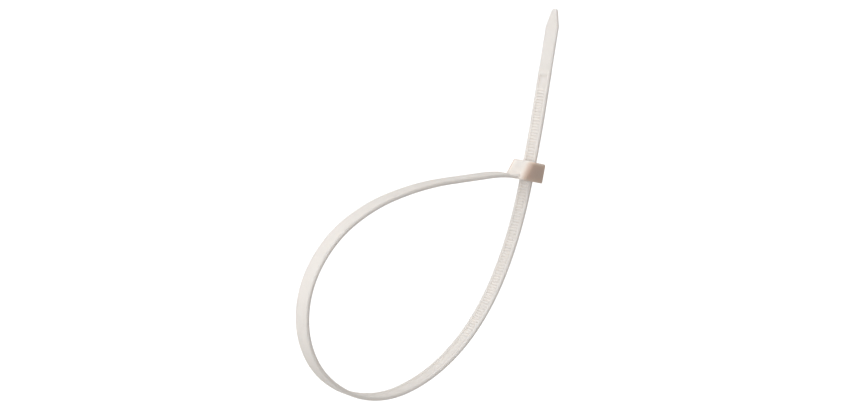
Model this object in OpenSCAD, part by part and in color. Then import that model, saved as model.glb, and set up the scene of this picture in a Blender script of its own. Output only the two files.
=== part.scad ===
// Nylon cable tie pulled into an open loop, with its tail through the head.
// It is one moulding: a ladder-toothed strap, a ratchet head with its pawl, and a plain tapered tip.
//
// The tie is drawn in the head's own frame. The slot runs along +Y and its middle is at x = 0. The
// strap leaves the head towards -X, turns three quarters of a circle to the left and comes back up
// through the slot. Z is across the strap. The finished tie is then laid down on its side.

/* [Strap] */
// Width of the strap
strap_w = 4.8; // [4.6:0.1:5.0]
// Thickness of the strap over its rails
strap_t = 1.3; // [1.2:0.05:1.35]
// Width of each plain rail beside the toothed channel
rail_w = 0.95; // [0.85:0.05:1.1]
// Depth of the tooth crests below the rails
crest_depth = 0.12; // [0.1:0.02:0.2]
// Depth of the tooth roots below the rails
root_depth = 0.4; // [0.35:0.05:0.55]
// Distance from one tooth to the next
tooth_pitch = 0.92; // [0.9:0.01:1.0]

/* [Neck and tip] */
// Length of the thin plain neck beside the head
neck_len = 2.8; // [2:0.2:4]
// Thickness of the neck
neck_t = 1.0; // [0.8:0.05:1.1]
// Length of the tail from the head's exit face to the end of the tip
tail_len = 46.6; // [40:0.2:60]
// Length of the plain tip, which has no channel
tip_len = 19.4; // [16:0.2:24]
// Thickness of the plain tip
tip_t = 1.0; // [0.8:0.05:1.1]
// Length over which the tip narrows, with straight sides, to its round end
taper_len = 5.4; // [4:0.2:8]
// Radius of the tip's round end
tip_end_r = 1.2; // [0.8:0.1:1.6]

/* [Head] */
// Size of the head across the strap
head_w = 8.2; // [8:0.1:9]
// Height of the head along the slot
head_h = 5.9; // [5.7:0.1:6.2]
// Distance from the slot's middle to the head's root side, at the entry face
head_root = 6.6; // [6.4:0.1:6.8]
// Distance from the slot's middle to the head's plain side, at the entry face
head_far = 3.1; // [2.8:0.1:3.4]
// Radius of the head's two upright edges on its root side
root_edge_r = 2.0; // [1.4:0.1:2.2]
// Radius of the head's two upright edges on its plain side
far_edge_r = 0.5; // [0.4:0.1:1]
// Clearance of the strap in the slot on every side
slot_gap = 0.08; // [0.06:0.01:0.1]

/* [Hidden] */
nylon = [0.93, 0.91, 0.88];

half_w = strap_w / 2;
half_t = strap_t / 2;
// Cutters run past the faces that they open by this much.
past = 0.5;

// ---- Middle line of the strap ----

// The bends of the loop from the head round to the slot, each [turn in degrees, radius]. They add
// up to 270 degrees, and the bend is tightest at the far side of the loop from the head.
bends = [[13, 60], [12, 112], [16, 56], [27, 32], [56, 23.8], [25, 27], [53, 36],
         [36, 51], [16, 61], [10, 94], [6, 115]];
// The slight bend that the tail keeps past the head
tail_bend = [3.4, 260];

// A run of strap is [length, turn]. A place on the strap is [x, y, heading, distance from root].
function bend_run(bend) = [bend[1] * bend[0] * PI / 180, bend[0]];
function straight_after(p, run) =
    [p[0] + run[0] * cos(p[2]), p[1] + run[0] * sin(p[2]), p[2], p[3] + run[0]];
function bend_after(p, run, r, h) =
    [p[0] + r * (sin(h) - sin(p[2])), p[1] - r * (cos(h) - cos(p[2])), h, p[3] + run[0]];
function after(p, run) =
    run[1] == 0
        ? straight_after(p, run)
        : bend_after(p, run, run[0] * 180 / (PI * run[1]), p[2] + run[1]);
function run_ends(start, runs) =
    [for (i = 0, p = start; i <= len(runs); p = i < len(runs) ? after(p, runs[i]) : p, i = i + 1) p];

// The strap starts inside the head, with its toothed face just above the head's entry face.
root_inset = 3.05;
root_straight = 1.2;
neck_rise = 0.15;
root = [root_inset - head_root, neck_rise + half_t, 180, 0];
root_run = [root_straight, 0];
bend_runs = [for (b = bends) bend_run(b)];

// Two straight runs close the loop: one behind the first bend, and one up to the entry face.
open_end = run_ends(root, concat([root_run], bend_runs))[len(bends) + 1];
back_heading = 180 + bends[0][0];
back_len = -open_end[0] / cos(back_heading);
rise_len = -open_end[1] - back_len * sin(back_heading);

tail_run = bend_run(tail_bend);
runs = concat([root_run, bend_runs[0], [back_len, 0]],
              [for (i = [1 : len(bends) - 1]) bend_runs[i]],
              [[rise_len + head_h, 0], tail_run, [tail_len - tail_run[0], 0]]);
ends = run_ends(root, runs);

// Distances along the strap
exit_s = ends[len(bends) + 3][3];
entry_s = exit_s - head_h;
strap_s = exit_s + tail_len;
neck_s = root_inset + neck_len;
tip_s = strap_s - tip_len;

function place_at(s) =
    let (i = max([for (k = [0 : len(runs) - 1]) if (ends[k][3] <= s) k]), part = s - ends[i][3])
    after(ends[i], [part, runs[i][1] * part / runs[i][0]]);
// A point beside the middle line. Positive is the toothed side, which faces into the loop.
function beside(s, off) =
    let (p = place_at(s)) [p[0] - off * sin(p[2]), p[1] + off * cos(p[2])];

// ---- Strap ----

station_step = 1.5;
function stations(from, to) =
    let (n = ceil((to - from) / station_step)) [for (i = [0 : n]) from + (to - from) * i / n];
function backwards(list) = [for (i = [len(list) - 1 : -1 : 0]) list[i]];

// The outer face steps in at the neck, and both faces step in at the tip.
step_len = 0.8;
neck_off = half_t - (strap_t - neck_t);
tip_off = half_t - (strap_t - tip_t) / 2;

module strap_outline() {
    polygon(concat(
        [for (s = stations(0, neck_s)) beside(s, -neck_off)],
        [for (s = stations(neck_s + step_len, tip_s)) beside(s, -half_t)],
        [for (s = stations(tip_s + step_len, strap_s)) beside(s, -tip_off)],
        [for (s = backwards(stations(tip_s + step_len, strap_s))) beside(s, tip_off)],
        [for (s = backwards(stations(0, tip_s))) beside(s, half_t)]
    ));
}

// The channel starts this far past the neck and stops this far short of the plain tip. Its floor
// is smooth over its last stretch.
plain_start = 3;
plain_gap = 0.3;
smooth_floor = 3.4;

// The teeth are counted from the slot, so that they mesh with the pawl's. Each one stands up
// square on its head side and slopes down towards the tip.
first_tooth = -floor((entry_s - neck_s - plain_start) / tooth_pitch);
last_tooth = floor((tip_s - smooth_floor - plain_gap - entry_s) / tooth_pitch);
channel_end_s = entry_s + last_tooth * tooth_pitch + smooth_floor;
function tooth_s(i) = entry_s + i * tooth_pitch;
crest_off = half_t - crest_depth;
root_off = half_t - root_depth;

module channel_outline() {
    polygon(concat(
        [for (i = [first_tooth : last_tooth - 1])
            each [beside(tooth_s(i), crest_off), beside(tooth_s(i + 1), root_off)]],
        [beside(channel_end_s, root_off)],
        [for (s = backwards(stations(tooth_s(first_tooth), channel_end_s))) beside(s, half_t + past)]
    ));
}

// The narrowing end of the tip, seen on its flat face
sliver = 0.01;
module tip_plan() {
    hull() {
        translate([-tip_end_r, 0]) circle(r = tip_end_r, $fn = 48);
        translate([-taper_len, -half_w]) square([sliver, strap_w]);
    }
}

module tip_trim() {
    end = ends[len(runs)];
    translate([end[0], end[1], 0]) rotate(end[2]) rotate([90, 0, 0])
        difference() {
            translate([-taper_len, -half_w - past, -strap_t])
                cube([taper_len + past, strap_w + 2 * past, 2 * strap_t]);
            translate([0, 0, -strap_t - past]) linear_extrude(2 * (strap_t + past)) tip_plan();
        }
}

module strap() {
    channel_w = strap_w - 2 * rail_w;
    difference() {
        translate([0, 0, -half_w]) linear_extrude(strap_w) strap_outline();
        translate([0, 0, -channel_w / 2]) linear_extrude(channel_w) channel_outline();
        tip_trim();
    }
}

// ---- Head ----

// The head leans in towards its exit face by this much on its root side and its plain side.
root_lean = 2.6;
far_lean = 0.1;
// Rounding of the rim at the entry face and at the exit face
entry_rim = 0.25;
exit_rim = 0.5;
// One more level part-way round the exit rim: how far it is below the exit face, and its inset
mid_rim_drop = exit_rim / 4;
mid_rim_inset = exit_rim / 3;

// Where the two leaning sides are at height y
function root_side(y) = -head_root + root_lean * y / head_h;
function far_side(y) = head_far - far_lean * y / head_h;

// One level of the head: a thin rounded plate at height y, inset from the four sides.
module head_level(y, inset) {
    root_r = root_edge_r - inset / 2;
    far_r = far_edge_r - inset / 2;
    for (post = [[root_side(y) + inset + root_r, root_r], [far_side(y) - inset - far_r, far_r]],
         side = [-1, 1])
        translate([post[0], y, side * (head_w / 2 - inset - post[1])]) rotate([-90, 0, 0])
            cylinder(h = sliver, r = post[1], $fn = 40);
}

module head_block() {
    hull() {
        head_level(0, entry_rim);
        head_level(entry_rim, 0);
        head_level(head_h - exit_rim, 0);
        head_level(head_h - mid_rim_drop, mid_rim_inset);
        head_level(head_h - sliver, exit_rim);
    }
}

slot_x = half_t + slot_gap;
slot_z = half_w + slot_gap;
module slot() {
    translate([-slot_x, -past, -slot_z]) cube([2 * slot_x, head_h + 2 * past, 2 * slot_z]);
}

// The hollow behind the pawl opens into the slot and at the exit face. The wall behind it is
// thicker at the hollow's floor than at the exit face.
hollow_floor = 1.3;
hollow_z = 1.5;
wall_low = 1.9;
wall_high = 0.9;
module pawl_hollow() {
    back_low = root_side(hollow_floor) + wall_low;
    back_high = root_side(head_h) + wall_high;
    translate([0, 0, -hollow_z]) linear_extrude(2 * hollow_z)
        polygon([[back_low, hollow_floor], [0, hollow_floor],
                 [0, head_h + past], [back_high, head_h + past]]);
}

// The pawl is a tongue that stands up from the hollow's floor to just short of the exit face. Its
// teeth reach between the rails into the valleys of the strap's teeth.
pawl_short = 0.25;
pawl_top = head_h - pawl_short;
pawl_z = 1.25;
pawl_base_t = 1.9;
pawl_top_t = 1.1;
pawl_teeth = 3;
pawl_clear = 0.08;
module pawl() {
    face = -slot_x;
    base_back = face - pawl_base_t;
    top_back = face - pawl_top_t;
    reach_deep = -root_off - pawl_clear;
    reach_flat = -crest_off - pawl_clear;
    first = floor(pawl_top / tooth_pitch) - pawl_teeth;
    tooth_y = [for (i = [0 : pawl_teeth - 1]) (first + i) * tooth_pitch];
    translate([0, 0, -pawl_z]) linear_extrude(2 * pawl_z)
        polygon(concat(
            [[base_back, hollow_floor - past], [face, hollow_floor - past], [face, tooth_y[0]]],
            [for (y = tooth_y)
                each [[reach_flat, y],
                      [reach_deep, y + tooth_pitch - pawl_clear],
                      [reach_flat, y + tooth_pitch - pawl_clear]]],
            [[face, pawl_top], [top_back, pawl_top]]
        ));
}

module head() {
    difference() {
        head_block();
        slot();
        pawl_hollow();
    }
    pawl();
}

// ---- Laid on its side ----

// The head is wider than the strap, so the tie rests on one corner of the head's flat side and on
// the far side of the loop. It leans down towards this heading.
lean_heading = 238;
lean_dir = [cos(lean_heading), sin(lean_heading)];
corner = [root_side(entry_rim) + root_edge_r, entry_rim];
strap_lift = (head_w - strap_w) / 2;
outer_edge = [for (s = stations(0, strap_s)) beside(s, -half_t) - corner];
loop_reach = max([for (p = outer_edge) p * lean_dir]);
lean = atan(strap_lift / loop_reach);

// Where a point beside the corner comes to lie. Its z counts from the head's flat side.
function laid(p, z) =
    let (along = p * lean_dir, slid = along * (cos(lean) - 1) + z * sin(lean))
    p + slid * lean_dir;
far_edge = [far_side(entry_rim), entry_rim] - corner;
footprint = concat([for (p = outer_edge, z = [strap_lift, strap_lift + strap_w]) laid(p, z)],
                   [for (z = [far_edge_r, head_w - far_edge_r]) laid(far_edge, z)]);
function middle(values) = (min(values) + max(values)) / 2;
centre = [middle([for (p = footprint) p[0]]), middle([for (p = footprint) p[1]])];

// The origin is on the ground, under the middle of the tie's outline.
module laid_down() {
    translate([-centre[0], -centre[1], 0])
        rotate([0, 0, lean_heading]) rotate([0, lean, 0]) rotate([0, 0, -lean_heading])
            translate([-corner[0], -corner[1], head_w / 2])
                children();
}

module cable_tie() {
    color(nylon) laid_down() {
        strap();
        head();
    }
}

cable_tie();
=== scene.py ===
"""A natural nylon cable tie pulled into an open loop, lying on its side on a pale studio floor.

The tie is drawn in millimetres in its head's own frame, as the mould maker would: the slot runs
along +Y with its middle at x = 0, the strap leaves the head towards -X, turns three quarters of a
circle to the left and comes back up through the slot, and Z is across the strap. The finished
moulding is then laid down on its side, in metres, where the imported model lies.
"""

import math

import bmesh
import bpy
from mathutils import Matrix, Vector


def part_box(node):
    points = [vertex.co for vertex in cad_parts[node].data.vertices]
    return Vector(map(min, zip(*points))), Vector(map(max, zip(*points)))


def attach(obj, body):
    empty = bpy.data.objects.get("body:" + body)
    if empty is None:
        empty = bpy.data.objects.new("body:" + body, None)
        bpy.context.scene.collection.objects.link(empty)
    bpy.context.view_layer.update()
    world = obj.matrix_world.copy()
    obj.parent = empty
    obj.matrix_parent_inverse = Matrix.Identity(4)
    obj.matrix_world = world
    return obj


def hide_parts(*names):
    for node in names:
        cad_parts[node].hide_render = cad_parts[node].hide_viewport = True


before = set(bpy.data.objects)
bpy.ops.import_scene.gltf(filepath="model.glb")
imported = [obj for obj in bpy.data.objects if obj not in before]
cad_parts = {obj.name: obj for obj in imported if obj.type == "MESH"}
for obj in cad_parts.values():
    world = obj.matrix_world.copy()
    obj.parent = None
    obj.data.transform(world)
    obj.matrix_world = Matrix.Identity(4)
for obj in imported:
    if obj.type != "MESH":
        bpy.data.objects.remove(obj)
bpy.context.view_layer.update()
MM = 0.001


# ---- Sizes of the tie, in millimetres ----

STRAP_W = 4.8
STRAP_T = 1.3
HALF_W = STRAP_W / 2
HALF_T = STRAP_T / 2
EDGE_R = 0.5          # rounding of the strap's long edges
SIDE_CROWN = 0.015    # how far the strap's sides bulge at their middle
OUTER_EASE = 0.012    # keeps the strap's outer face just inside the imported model

# The toothed channel between the two rails
RAIL_W = 0.95
CHANNEL_HALF = HALF_W - RAIL_W
CREST_DEPTH = 0.12
ROOT_DEPTH = 0.4
CREST_ROUND = 0.02
TOOTH_PITCH = 0.92
PLAIN_START = 3.0     # from the neck to the channel
PLAIN_GAP = 0.3       # from the channel to the plain tip
SMOOTH_FLOOR = 3.4    # the last stretch of the channel, which has no teeth
FLOOR_RISE = 0.8      # the channel's floor comes up to the rails over this length
FLOOR_EDGE = 0.06     # the walls lean in by this much down to the floor
LIP_DEPTH = 0.07

# The teeth are sharpest where they bite: they start to sharpen this far before the slot, are
# sharp after the rise, and have this share of their height over the rest of the loop.
CRISP_LEN = 58.0
CRISP_RISE = 14.0
SOFT_TEETH = 0.12

NECK_LEN = 2.8
NECK_T = 1.0
NECK_FILLET = 0.8     # length of the fillet where the neck leaves the head
NECK_FILLET_T = 0.45  # and how much it adds to the outer face at the head
STEP_LEN = 0.8        # length of the steps in thickness at the neck and the plain tip

TAIL_LEN = 46.6
TIP_LEN = 19.4
TIP_T = 1.0
TAPER_LEN = 5.4
TIP_END_R = 1.2
TIP_ROUND = 0.6       # the tip's thickness rounds off over this length

HEAD_W = 8.2
HEAD_H = 5.9
HEAD_ROOT = 6.6
HEAD_FAR = 3.1
ROOT_LEAN = 2.6
FAR_LEAN = 0.1
ROOT_EDGE_R = 2.0
FAR_EDGE_R = 0.5
ENTRY_RIM = 0.25
EXIT_RIM = 0.5

SLOT_GAP = 0.08
SLOT_X = HALF_T + SLOT_GAP
SLOT_Z = HALF_W + SLOT_GAP
PAST = 0.5            # cutters run past the faces that they open by this much

# The hollow behind the pawl, and the walls it leaves at its floor and at the exit face
HOLLOW_FLOOR = 1.3
HOLLOW_Z = 1.5
WALL_LOW = 1.9
WALL_HIGH = 0.9

PAWL_SHORT = 0.25     # from the pawl's top to the exit face
PAWL_Z = 1.25
PAWL_BASE_T = 1.9
PAWL_TOP_T = 1.1
PAWL_TEETH = 3
PAWL_CLEAR = 0.08
PAWL_BEVEL = 0.03

# Where the strap starts inside the head, and its straight run out of the root side
ROOT_INSET = 3.05
ROOT_STRAIGHT = 1.2
NECK_RISE = 0.15

# The bends of the loop from the head round to the slot, each (turn in degrees, radius)
BENDS = [(13, 60), (12, 112), (16, 56), (27, 32), (56, 23.8), (25, 27), (53, 36),
         (36, 51), (16, 61), (10, 94), (6, 115)]
TAIL_BEND = (3.4, 260)

# One tooth, from its square face to the next tooth: (share of the pitch, depth below the rails)
TOOTH = [(0.0, ROOT_DEPTH), (0.1, CREST_DEPTH + CREST_ROUND), (0.16, CREST_DEPTH),
         (0.4, CREST_DEPTH), (0.88, ROOT_DEPTH), (1.0, ROOT_DEPTH)]
# The softened lip of the channel's wall: (share of the lip's depth, distance beyond the wall)
LIP = [(1.0, -0.012), (0.3, 0.02), (0.0, 0.08)]
# The flare where the strap goes into the slot: (height, how far it opens the slot)
FLARE = [(0.0, 0.2), (0.1, 0.08), (0.25, 0.0)]

# Steps round a quarter circle of the strap's edges, the head's upright edges and the head's rims
STRAP_EDGE_STEPS = 6
HEAD_EDGE_STEPS = 16
RIM_STEPS = 5


# ---- Camera ----

def studio_camera():
    """A camera above the root side of the head, turned so that the tail points up the frame."""
    azimuth, elevation, roll = math.radians(178.25), math.radians(43.45), math.radians(101.67)
    distance, lens = 0.4292, 63.0
    aim = Vector((0.0019, -0.0041, 0.0))
    back = Vector((math.cos(elevation) * math.cos(azimuth),
                   math.cos(elevation) * math.sin(azimuth), math.sin(elevation)))
    level = Vector((0, 0, 1)).cross(back).normalized()
    up = back.cross(level)
    right = level * math.cos(roll) + up * math.sin(roll)
    data = bpy.data.cameras.new("studio_camera")
    data.lens = lens
    data.clip_start = 0.01
    camera = bpy.data.objects.new("studio_camera", data)
    turn = Matrix((right, back.cross(right), back)).transposed()
    camera.matrix_world = Matrix.Translation(aim + back * distance) @ turn.to_4x4()
    bpy.context.scene.collection.objects.link(camera)
    bpy.context.scene.camera = camera


studio_camera()


# ---- Middle line of the strap ----

def bend_run(bend):
    """A run of strap is (length, turn in degrees)."""
    return (bend[1] * math.radians(bend[0]), bend[0])


def after(place, run):
    """The place at the end of a run. A place is (x, y, heading, distance from the root)."""
    x, y, heading, s = place
    length, turn = run
    a, b = math.radians(heading), math.radians(heading + turn)
    if turn == 0:
        return (x + length * math.cos(a), y + length * math.sin(a), heading, s + length)
    r = length / math.radians(turn)
    return (x + r * (math.sin(b) - math.sin(a)), y - r * (math.cos(b) - math.cos(a)),
            heading + turn, s + length)


def run_ends(start, runs):
    """The places where the runs start, and where the last one ends."""
    places = [start]
    for run in runs:
        places.append(after(places[-1], run))
    return places


def strap_runs():
    """The runs of the strap, with two straight ones that bring it back square to the slot."""
    root = (ROOT_INSET - HEAD_ROOT, NECK_RISE + HALF_T, 180.0, 0.0)
    bends = [bend_run(b) for b in BENDS]
    open_end = run_ends(root, [(ROOT_STRAIGHT, 0)] + bends)[-1]
    back_heading = math.radians(180 + BENDS[0][0])
    back_len = -open_end[0] / math.cos(back_heading)
    rise_len = -open_end[1] - back_len * math.sin(back_heading)
    tail = bend_run(TAIL_BEND)
    runs = ([(ROOT_STRAIGHT, 0), bends[0], (back_len, 0)] + bends[1:]
            + [(rise_len + HEAD_H, 0), tail, (TAIL_LEN - tail[0], 0)])
    return runs, run_ends(root, runs)


# Distances along the strap end in _S.
RUNS, ENDS = strap_runs()
EXIT_S = ENDS[-3][3]
ENTRY_S = EXIT_S - HEAD_H
STRAP_S = ENDS[-1][3]
NECK_S = ROOT_INSET + NECK_LEN
TIP_S = STRAP_S - TIP_LEN
TAPER_S = STRAP_S - TAPER_LEN

# The teeth are counted from the slot.
FIRST_TOOTH = -math.floor((ENTRY_S - NECK_S - PLAIN_START) / TOOTH_PITCH)
LAST_TOOTH = math.floor((TIP_S - SMOOTH_FLOOR - PLAIN_GAP - ENTRY_S) / TOOTH_PITCH)
TEETH_START_S = ENTRY_S + FIRST_TOOTH * TOOTH_PITCH
TEETH_END_S = ENTRY_S + LAST_TOOTH * TOOTH_PITCH
CHANNEL_START_S = TEETH_START_S - FLOOR_RISE
SMOOTH_END_S = TEETH_END_S + SMOOTH_FLOOR
CHANNEL_END_S = SMOOTH_END_S + FLOOR_RISE


def place_at(s):
    """The place at a distance along the strap."""
    i = max(k for k in range(len(RUNS)) if ENDS[k][3] <= s)
    part = s - ENDS[i][3]
    return after(ENDS[i], (part, RUNS[i][1] * part / RUNS[i][0]))


# ---- Strap ----

def ease(x):
    """A smooth step from 0 to 1 as x goes from 0 to 1."""
    x = min(max(x, 0.0), 1.0)
    return x * x * (3 - 2 * x)


def tooth_depth(s):
    """Depth of the channel's floor below the rails, along the strap."""
    if s <= CHANNEL_START_S or s >= CHANNEL_END_S:
        return 0.0
    if s < TEETH_START_S:
        return CREST_DEPTH * ease((s - CHANNEL_START_S) / FLOOR_RISE)
    if s >= TEETH_END_S:
        return ROOT_DEPTH * ease((CHANNEL_END_S - s) / FLOOR_RISE)
    share = ((s - TEETH_START_S) / TOOTH_PITCH) % 1.0
    depth = ROOT_DEPTH
    for (a, depth_a), (b, depth_b) in zip(TOOTH, TOOTH[1:]):
        if share <= b:
            depth = depth_a + (depth_b - depth_a) * (share - a) / (b - a)
            break
    crisp = SOFT_TEETH + (1 - SOFT_TEETH) * ease((s - ENTRY_S + CRISP_LEN) / CRISP_RISE)
    mid_depth = (CREST_DEPTH + ROOT_DEPTH) / 2
    return mid_depth + (depth - mid_depth) * crisp


def strap_stations():
    """Distances along the strap where its section is drawn, close together where it changes."""
    # Stretches without teeth: (from, to, longest step)
    plain = [(0.0, CHANNEL_START_S, 0.25), (CHANNEL_START_S, TEETH_START_S, 0.2),
             (TEETH_END_S, SMOOTH_END_S, 0.5), (SMOOTH_END_S, CHANNEL_END_S, 0.2),
             (CHANNEL_END_S, TAPER_S, 0.4)]
    spots = {0.0, TAPER_S}
    for low, high, step in plain:
        count = math.ceil((high - low) / step)
        spots.update(low + (high - low) * i / count for i in range(count + 1))
    for i in range(FIRST_TOOTH, LAST_TOOTH):
        spots.update(ENTRY_S + (i + share) * TOOTH_PITCH for share, depth in TOOTH[:-1])
    # Round the tip's end in steps of six degrees, and nothing between there and the taper's start
    spots.update(STRAP_S - TIP_END_R * (1 - math.cos(math.radians(a))) for a in range(6, 72, 6))
    ordered = sorted(spots)
    closest = 1e-4
    kept = [ordered[0]]
    for s in ordered[1:]:
        if s - kept[-1] > closest:
            kept.append(s)
    return kept


def tip_half(left):
    """Half width of the strap this far from its end: a round end with straight sides to it."""
    shoulder = (TAPER_LEN - TIP_END_R, HALF_W)
    reach = math.hypot(*shoulder)
    slope = math.atan2(shoulder[1], shoulder[0]) - math.asin(TIP_END_R / reach)
    touch = TIP_END_R * (1 - math.sin(slope))
    if left < touch:
        return math.sqrt(left * (2 * TIP_END_R - left))
    return min(HALF_W, TIP_END_R * math.cos(slope) + (left - touch) * math.tan(slope))


def strap_size(s):
    """Half width, offset of the outer face and offset of the toothed face at a distance."""
    outer = HALF_T - OUTER_EASE - (STRAP_T - NECK_T) * (1 - ease((s - NECK_S) / STEP_LEN))
    fillet = max(0.0, 1 - (s - ROOT_INSET) / NECK_FILLET)
    outer += NECK_FILLET_T * min(fillet, 1.0) ** 2
    thinner = (STRAP_T - TIP_T) / 2 * ease((s - TIP_S) / STEP_LEN)
    outer, inner = outer - thinner, HALF_T - thinner
    left = STRAP_S - s
    if left < TIP_ROUND:
        squeeze = math.sqrt(1 - (1 - left / TIP_ROUND) ** 2)
        outer, inner = outer * squeeze, inner * squeeze
    return tip_half(left), outer, inner


def quarter(centre, radius, start, steps):
    """Points of a quarter circle, anticlockwise from a start angle in degrees."""
    angles = [math.radians(start + 90 * i / steps) for i in range(steps + 1)]
    return [(centre[0] + radius * math.cos(a), centre[1] + radius * math.sin(a)) for a in angles]


def strap_section(s):
    """The strap's section as a ring of (offset, z): toothed side at +offset."""
    half, outer, inner = strap_size(s)
    thick, mid = outer + inner, (inner - outer) / 2
    share = half / HALF_W
    # The channel: half its floor, then the lip of its wall
    depth = tooth_depth(s)
    lip = min(LIP_DEPTH, depth / 2)
    wall = CHANNEL_HALF * share
    floor_half = wall - FLOOR_EDGE * share
    half_ring = [(inner - depth, floor_half * part) for part in (0.0, 0.6, 1.0)]
    half_ring += [(inner - lip * drop, wall + out * share) for drop, out in LIP]
    # The side, with a low ridge along its middle between the two round edges. Towards the end of
    # the tip the edges get smaller with the section.
    r = min(EDGE_R, 0.35 * half, 0.4 * thick)
    flank = half - SIDE_CROWN * share
    ridge = 0.05 * thick
    half_ring += quarter((inner - r, flank - r), r, 0, STRAP_EDGE_STEPS)
    half_ring += [(mid + ridge, flank), (mid, half), (mid - ridge, flank)]
    half_ring += quarter((-outer + r, flank - r), r, 90, STRAP_EDGE_STEPS)
    half_ring += [(-outer, half * 0.45), (-outer, 0.0)]
    return half_ring + [(off, -z) for off, z in reversed(half_ring[1:-1])]


def add_mesh(name, points, faces):
    """A new object with its faces turned outwards."""
    mesh = bpy.data.meshes.new(name)
    mesh.from_pydata(points, [], faces)
    tidy = bmesh.new()
    tidy.from_mesh(mesh)
    bmesh.ops.recalc_face_normals(tidy, faces=tidy.faces)
    tidy.to_mesh(mesh)
    tidy.free()
    piece = bpy.data.objects.new(name, mesh)
    bpy.context.scene.collection.objects.link(piece)
    return piece


def skin(rings):
    """Points and faces of a closed form that passes through rings of equal length."""
    count = len(rings[0])
    points = [p for ring in rings for p in ring]
    faces = [(k * count + i, k * count + (i + 1) % count,
              (k + 1) * count + (i + 1) % count, (k + 1) * count + i)
             for k in range(len(rings) - 1) for i in range(count)]
    last = (len(rings) - 1) * count
    return points, faces + [tuple(range(count)), tuple(range(last, last + count))]


def make_strap():
    """The strap, from its root inside the head to the end of its tip."""
    rings = []
    for s in strap_stations():
        x, y, heading, _ = place_at(s)
        left = (-math.sin(math.radians(heading)), math.cos(math.radians(heading)))
        rings.append([(x + off * left[0], y + off * left[1], z) for off, z in strap_section(s)])
    return add_mesh("strap", *skin(rings))


# ---- Head ----

def root_side(y):
    """Where the head's leaning root side is at height y."""
    return -HEAD_ROOT + ROOT_LEAN * y / HEAD_H


def far_side(y):
    """Where the head's plain side is at height y."""
    return HEAD_FAR - FAR_LEAN * y / HEAD_H


def rounded_level(y, inset):
    """One level of the head: a rounded outline at height y, inset from the four sides."""
    root_r, far_r = ROOT_EDGE_R - inset / 2, FAR_EDGE_R - inset / 2
    low, high = root_side(y) + inset + root_r, far_side(y) - inset - far_r
    low_z, high_z = HEAD_W / 2 - inset - root_r, HEAD_W / 2 - inset - far_r
    corners = [((high, high_z), far_r, 0), ((low, low_z), root_r, 90),
               ((low, -low_z), root_r, 180), ((high, -high_z), far_r, 270)]
    return [(x, y, z) for centre, r, start in corners
            for x, z in quarter(centre, r, start, HEAD_EDGE_STEPS)]


def rim(radius, y, sign):
    """Levels of a rounded rim, each (height, inset), from the flat face to the sides."""
    angles = [math.radians(90 * i / RIM_STEPS) for i in range(RIM_STEPS + 1)]
    return [(y + sign * radius * (1 - math.cos(a)), radius * (1 - math.sin(a))) for a in angles]


def head_block():
    """The head before its slot and hollow are cut, with a few more levels between its rims."""
    levels = rim(ENTRY_RIM, 0.0, 1)
    levels += [(HEAD_H * share, 0.0) for share in (0.15, 0.35, 0.6, 0.8)]
    levels += reversed(rim(EXIT_RIM, HEAD_H, -1))
    return add_mesh("head_block", *skin([rounded_level(y, inset) for y, inset in levels]))


def slot_cutter():
    """The slot, flared a little where the strap goes in."""
    signs = ((1, 1), (-1, 1), (-1, -1), (1, -1))
    levels = [(-PAST, FLARE[0][1] + PAST)] + FLARE + [(HEAD_H + PAST, 0.0)]
    rings = [[(a * (SLOT_X + f), y, b * (SLOT_Z + f)) for a, b in signs] for y, f in levels]
    return add_mesh("slot_cutter", *skin(rings))


def side_form(name, outline, half_z, bevel=0.0):
    """A form with one outline seen from the side, from -half_z to half_z. A bevel softens it."""
    rings = [[(x, y, z) for x, y in outline] for z in (-half_z, half_z)]
    piece = add_mesh(name, *skin(rings))
    if bevel:
        soft = bmesh.new()
        soft.from_mesh(piece.data)
        bmesh.ops.bevel(soft, geom=soft.edges, offset=bevel, segments=2, affect="EDGES")
        soft.to_mesh(piece.data)
        soft.free()
    return piece


def hollow_cutter():
    """The hollow that the pawl bends back into."""
    low, high = root_side(HOLLOW_FLOOR) + WALL_LOW, root_side(HEAD_H) + WALL_HIGH
    outline = [(low, HOLLOW_FLOOR), (0, HOLLOW_FLOOR), (0, HEAD_H + PAST), (high, HEAD_H + PAST)]
    return side_form("hollow_cutter", outline, HOLLOW_Z)


def make_pawl():
    """The tongue behind the slot, with teeth that reach in between the strap's rails."""
    top, face, floor = HEAD_H - PAWL_SHORT, -SLOT_X, HOLLOW_FLOOR - PAST
    deep, flat = ROOT_DEPTH - HALF_T - PAWL_CLEAR, CREST_DEPTH - HALF_T - PAWL_CLEAR
    first = math.floor(top / TOOTH_PITCH) - PAWL_TEETH
    starts = [(first + i) * TOOTH_PITCH for i in range(PAWL_TEETH)]
    outline = [(face - PAWL_BASE_T, floor), (face, floor), (face, starts[0])]
    for y in starts:
        end = y + TOOTH_PITCH - PAWL_CLEAR
        outline += [(flat, y), (deep, end), (flat, end)]
    outline += [(face, top), (face - PAWL_TOP_T, top)]
    return side_form("pawl", outline, PAWL_Z, bevel=PAWL_BEVEL)


def combine(piece, other, operation):
    """Adds or cuts away another closed form, which is used up."""
    step = piece.modifiers.new(operation.lower(), "BOOLEAN")
    step.operation = operation
    step.solver = "EXACT"
    step.object = other
    depsgraph = bpy.context.evaluated_depsgraph_get()
    mesh = bpy.data.meshes.new_from_object(piece.evaluated_get(depsgraph))
    piece.modifiers.clear()
    piece.data = mesh
    bpy.data.objects.remove(other)


# ---- Laid on its side ----

# The tie rests on one corner of the head's flat side and on the far side of the loop. It leans
# down towards this heading, in degrees.
LEAN_HEADING = 238
# An edge between two faces looks sharp when it turns by more than this, in degrees.
SHARP_TURN = 80


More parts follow.
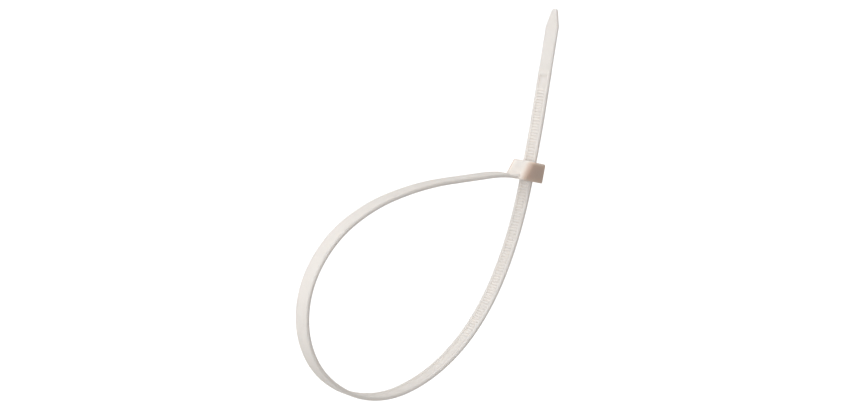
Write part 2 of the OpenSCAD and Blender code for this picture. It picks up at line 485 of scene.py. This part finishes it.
def laid_down():
    """The move from the head's frame to the tie's side, in millimetres."""
    heading = math.radians(LEAN_HEADING)
    lean_dir = Vector((math.cos(heading), math.sin(heading)))
    corner = Vector((root_side(ENTRY_RIM) + ROOT_EDGE_R, ENTRY_RIM))
    reach = 0.0
    for s in range(int(STRAP_S)):
        x, y, along, _ = place_at(float(s))
        along = math.radians(along)
        edge = Vector((x + HALF_T * math.sin(along), y - HALF_T * math.cos(along)))
        reach = max(reach, (edge - corner).dot(lean_dir))
    lean = math.atan((HEAD_W - STRAP_W) / 2 / reach)
    turn = (Matrix.Rotation(heading, 4, "Z") @ Matrix.Rotation(lean, 4, "Y")
            @ Matrix.Rotation(-heading, 4, "Z"))
    return turn @ Matrix.Translation((-corner[0], -corner[1], HEAD_W / 2))


def make_tie():
    """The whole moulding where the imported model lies, and the middle of its head, in metres."""
    tie = head_block()
    combine(tie, slot_cutter(), "DIFFERENCE")
    combine(tie, hollow_cutter(), "DIFFERENCE")
    combine(tie, make_pawl(), "UNION")
    combine(tie, make_strap(), "UNION")
    tie.name = "moulded_tie"
    tie.data.name = "moulded_tie"
    lay = laid_down()
    tie.data.transform(Matrix.Scale(MM, 4) @ lay)
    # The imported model's box says where the middle of the outline goes.
    low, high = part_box("cable_tie")
    points = [v.co for v in tie.data.vertices]
    slide = Vector([(low[i] + high[i] - min(p[i] for p in points) - max(p[i] for p in points)) / 2
                    for i in (0, 1)] + [0])
    tie.data.transform(Matrix.Translation(slide))
    tie.data.shade_smooth()
    tie.data.set_sharp_from_angle(angle=math.radians(SHARP_TURN))
    head_middle = Vector(((HEAD_FAR - HEAD_ROOT) / 2, HEAD_H / 2, 0))
    return tie, lay @ head_middle * MM + slide


# ---- Finishes ----

class Value:
    """A number that varies over a surface, which plain arithmetic can be done on."""

    def __init__(self, finish, socket):
        self.finish, self.socket = finish, socket

    def _math(self, operation, a, b):
        return self.finish.node("ShaderNodeMath", {"operation": operation}, {0: a, 1: b})

    def __add__(self, other):
        return self._math("ADD", self, other)

    def __radd__(self, other):
        return self._math("ADD", other, self)

    def __sub__(self, other):
        return self._math("SUBTRACT", self, other)

    def __rsub__(self, other):
        return self._math("SUBTRACT", other, self)

    def __mul__(self, other):
        return self._math("MULTIPLY", self, other)

    def __rmul__(self, other):
        return self._math("MULTIPLY", other, self)

    def at_least(self, low):
        return self._math("MAXIMUM", self, low)


class Finish:
    """A material, or the light tent, and the nodes that make it."""

    def __init__(self, block, shader="Principled BSDF"):
        self.block = block
        block.use_nodes = True
        self.tree = block.node_tree
        self.shader = self.tree.nodes[shader]

    def feed(self, socket, value):
        if isinstance(value, Value):
            self.tree.links.new(value.socket, socket)
        else:
            socket.default_value = value

    def node(self, kind, settings=None, inputs=None, output=0):
        """Adds a node: its settings are set first, then its sockets get values or links."""
        made = self.tree.nodes.new(kind)
        for name, value in (settings or {}).items():
            setattr(made, name, value)
        for socket, value in (inputs or {}).items():
            self.feed(made.inputs[socket], value)
        return Value(self, made.outputs[output])

    def noise(self, place, scale, detail):
        return self.node("ShaderNodeTexNoise", inputs={"Vector": place, "Scale": scale,
                                                       "Detail": detail})

    def mix(self, share, first, second):
        """A colour part of the way from the first to the second."""
        return self.node("ShaderNodeMix", {"data_type": "RGBA"},
                         {0: share, 6: first, 7: second}, output=2)

    def ramp(self, value, start, end, top=1.0):
        """Rises smoothly from 0 to top as a value goes from start to end."""
        return self.node("ShaderNodeMapRange", {"interpolation_type": "SMOOTHSTEP"},
                         {"Value": value, "From Min": start, "From Max": end, "To Max": top})

    def set(self, **inputs):
        """Feeds the shader's own sockets, whose names have spaces for underscores."""
        for name, value in inputs.items():
            self.feed(self.shader.inputs[name.replace("_", " ")], value)


# The nylon's colours, and how deep light goes into it, in metres
MILKY_DARK = (0.92, 0.845, 0.79, 1)
MILKY_PALE = (0.96, 0.90, 0.855, 1)
# The next two are painted shades: on the head's flat sides, and in narrow hollows.
SIDE_SHADE_COLOUR = (0.745, 0.61, 0.53, 1)
HOLLOW_SHADE_COLOUR = (0.80, 0.74, 0.70, 1)
LIGHT_DEPTH = 0.003
GRAIN_DEPTH = 0.00003


def nylon(head_middle):
    """Milky natural nylon: satin, faintly mottled, with a fine spark-eroded grain.

    The head's two flat sides get a painted shade, darker and warmer towards them, that stands in
    for the shade falling there.
    Narrow hollows, such as the valleys between teeth, get a little painted shade.
    """
    finish = Finish(bpy.data.materials.new("natural_nylon"))
    place = finish.node("ShaderNodeTexCoord", output="Object")
    cloud = finish.noise(place, 90.0, 3.0)
    speck = finish.noise(place, 1400.0, 4.0)
    grain = finish.noise(place, 9000.0, 2.0)
    tone = cloud * 0.7 + speck * 0.3
    colour = finish.mix(tone, MILKY_DARK, MILKY_PALE)

    # Painted shade on the head's flat sides, from 2 mm off the head's middle plane out to the
    # sides. It fades 8 to 10 mm from the head's middle, so that the strap's edges stay milky.
    level = finish.node("ShaderNodeSeparateXYZ", inputs={0: place}, output="Z")
    off = (level - head_middle.z).at_least(head_middle.z - level)
    away = finish.node("ShaderNodeVectorMath", {"operation": "DISTANCE"},
                       {0: place, 1: head_middle}, output="Value")
    side_shade = finish.ramp(off, 2.0 * MM, HEAD_W / 2 * MM) * (1 - finish.ramp(away, 8 * MM, 10 * MM))
    colour = finish.mix(side_shade, colour, SIDE_SHADE_COLOUR)

    # Painted shade in narrow hollows, such as the valleys between teeth, where pointiness is low.
    corner = finish.node("ShaderNodeNewGeometry", output="Pointiness")
    colour = finish.mix(finish.ramp(0.5 - corner, 0.0, 0.12), colour, HOLLOW_SHADE_COLOUR)

    bump = finish.node("ShaderNodeBump", inputs={"Strength": 0.12, "Distance": GRAIN_DEPTH,
                                                 "Height": grain * 0.6 + speck * 0.4})
    finish.set(Base_Color=colour, Roughness=0.42 + 0.16 * tone, Normal=bump)
    finish.set(IOR=1.53, Specular_IOR_Level=0.3)
    finish.set(Subsurface_Weight=1.0, Subsurface_Radius=(1.0, 0.95, 0.9),
               Subsurface_Scale=LIGHT_DEPTH)
    return finish.block


def floor_paper():
    """Matt white paper, lit from below as a light table is."""
    finish = Finish(bpy.data.materials.new("floor_paper"))
    place = finish.node("ShaderNodeTexCoord", output="Object")
    fibre = finish.noise(place, 700.0, 3.0)
    colour = finish.mix(fibre, (0.93, 0.93, 0.93, 1), (0.95, 0.95, 0.95, 1))
    finish.set(Base_Color=colour, Roughness=0.9, Specular_IOR_Level=0.1)
    finish.set(Emission_Color=(1, 1, 1, 1), Emission_Strength=0.85)
    return finish.block


# ---- Studio ----

def studio_floor():
    """A floor that shows to the camera and throws no light or shadow on the tie."""
    half = 3.0
    corners = [(-half, -half, 0), (half, -half, 0), (half, half, 0), (-half, half, 0)]
    floor = add_mesh("studio_floor", corners, [(0, 1, 2, 3)])
    floor.data.materials.append(floor_paper())
    floor.visible_glossy = floor.visible_diffuse = floor.visible_shadow = False


def studio_light():
    """A warm light tent, brightest low on the root side and dimmer overhead and underneath.

    The camera itself sees it plain white.
    """
    warm, white = (1, 0.965, 0.935, 1), (1, 1, 1, 1)
    azimuth, elevation = math.radians(155), math.radians(-5)
    bright_side = (math.cos(elevation) * math.cos(azimuth),
                   math.cos(elevation) * math.sin(azimuth), math.sin(elevation))
    tent = Finish(bpy.data.worlds.new("light_tent"), "Background")
    bpy.context.scene.world = tent.block
    direction = tent.node("ShaderNodeTexCoord", output="Generated")
    toward = tent.node("ShaderNodeVectorMath", {"operation": "DOT_PRODUCT"},
                       {0: direction, 1: bright_side}, output="Value")
    height = tent.node("ShaderNodeSeparateXYZ", inputs={0: direction}, output="Z")
    overhead = tent.ramp(height, -0.15, 0.65, top=0.63)
    underneath = tent.ramp(0 - height, -0.05, 0.6, top=0.62)
    glow = (0.96 + 1.24 * toward).at_least(0.6) * (1 - overhead) * (1 - underneath)
    seen = tent.node("ShaderNodeLightPath", output="Is Camera Ray")
    tent.set(Color=tent.mix(seen, warm, white), Strength=seen + (1 - seen) * glow)
    bpy.context.scene.view_settings.view_transform = "Standard"


tie, middle_of_head = make_tie()
tie.data.materials.clear()
tie.data.materials.append(nylon(middle_of_head))
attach(tie, "root")
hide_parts("cable_tie")
studio_floor()
studio_light()
